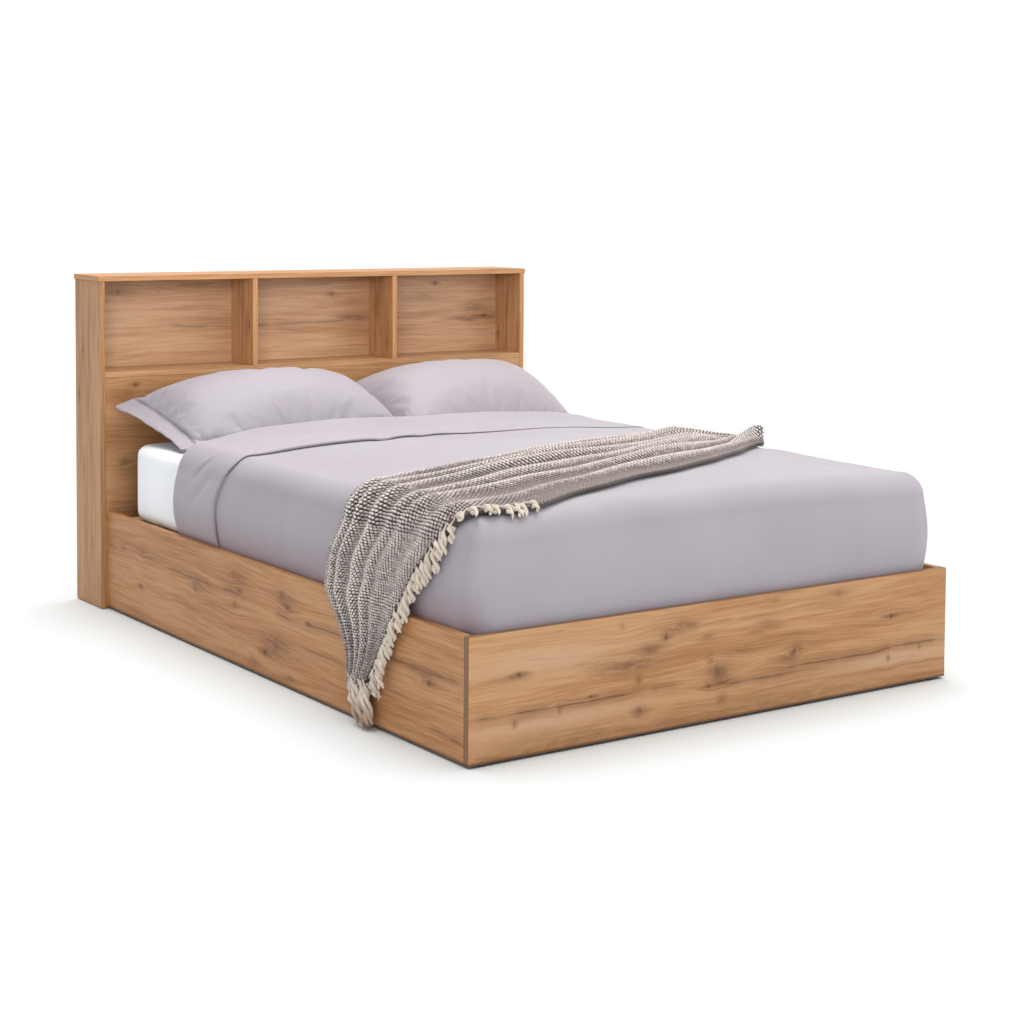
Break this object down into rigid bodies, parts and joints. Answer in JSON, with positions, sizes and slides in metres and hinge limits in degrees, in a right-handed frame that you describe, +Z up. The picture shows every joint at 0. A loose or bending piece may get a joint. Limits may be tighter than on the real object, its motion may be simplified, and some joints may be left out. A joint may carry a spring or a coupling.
{
  "type": "bed with storage headboard",
  "caption": "Double bed in oak-effect board with an open-compartment storage headboard, closed base, slats, mattress, duvet, pillows and a knitted throw.",
  "frame": {"origin": "on the floor, below the centre of the whole bed's bounding box", "axes": "+Z up; +Y from the foot to the headboard; +X to the right of someone who looks from the foot to the headboard"},
  "size_m": [1.46, 2.152, 0.962],
  "materials": {
    "oak_laminate": "oak-effect melamine laminate with knots, satin",
    "pine": "planed pine, unfinished",
    "zinc_steel": "zinc-plated steel",
    "black_plastic": "moulded black plastic",
    "white_sheet": "white cotton fitted sheet",
    "satin_cotton": "grey-mauve cotton satin",
    "throw_knit": "chunky taupe and cream knit"
  },
  "bodies": {
    "root": {"headboard_side_left": "oak_laminate", "headboard_side_right": "oak_laminate", "headboard_top": "oak_laminate", "headboard_shelf": "oak_laminate", "headboard_back_panel": "oak_laminate", "headboard_divider_1": "oak_laminate", "headboard_divider_2": "oak_laminate", "headboard_front_panel": "oak_laminate", "headboard_rear_stretcher": "oak_laminate", "headboard_glide_left_front": "black_plastic", "headboard_glide_left_back": "black_plastic", "headboard_glide_right_front": "black_plastic", "headboard_glide_right_back": "black_plastic", "side_rail_left": "oak_laminate", "side_rail_right": "oak_laminate", "side_rail_glide_left": "black_plastic", "side_rail_glide_right": "black_plastic", "foot_panel": "oak_laminate", "foot_panel_glide_left": "black_plastic", "foot_panel_glide_right": "black_plastic", "corner_bracket_foot_left": "zinc_steel", "corner_bracket_foot_right": "zinc_steel", "corner_bracket_head_left": "zinc_steel", "corner_bracket_head_right": "zinc_steel", "bracket_bolt_foot_left_rail": "zinc_steel", "bracket_bolt_foot_left_panel": "zinc_steel", "bracket_bolt_foot_right_rail": "zinc_steel", "bracket_bolt_foot_right_panel": "zinc_steel", "bracket_bolt_head_left_rail": "zinc_steel", "bracket_bolt_head_left_panel": "zinc_steel", "bracket_bolt_head_right_rail": "zinc_steel", "bracket_bolt_head_right_panel": "zinc_steel", "slat_ledger_left": "pine", "slat_ledger_right": "pine", "centre_beam": "pine", "beam_hanger_foot": "zinc_steel", "beam_hanger_head": "zinc_steel", "centre_leg_1": "pine", "centre_leg_2": "pine", "centre_leg_foot_1": "black_plastic", "centre_leg_foot_2": "black_plastic", "slat_01": "pine", "slat_02": "pine", "slat_03": "pine", "slat_04": "pine", "slat_05": "pine", "slat_06": "pine", "slat_07": "pine", "slat_08": "pine", "slat_09": "pine", "slat_10": "pine", "slat_11": "pine", "slat_12": "pine", "slat_13": "pine", "slat_14": "pine", "mattress": "white_sheet", "duvet": "satin_cotton", "pillow_left": "satin_cotton", "pillow_right": "satin_cotton", "throw": "throw_knit"}
  },
  "joints": []
}
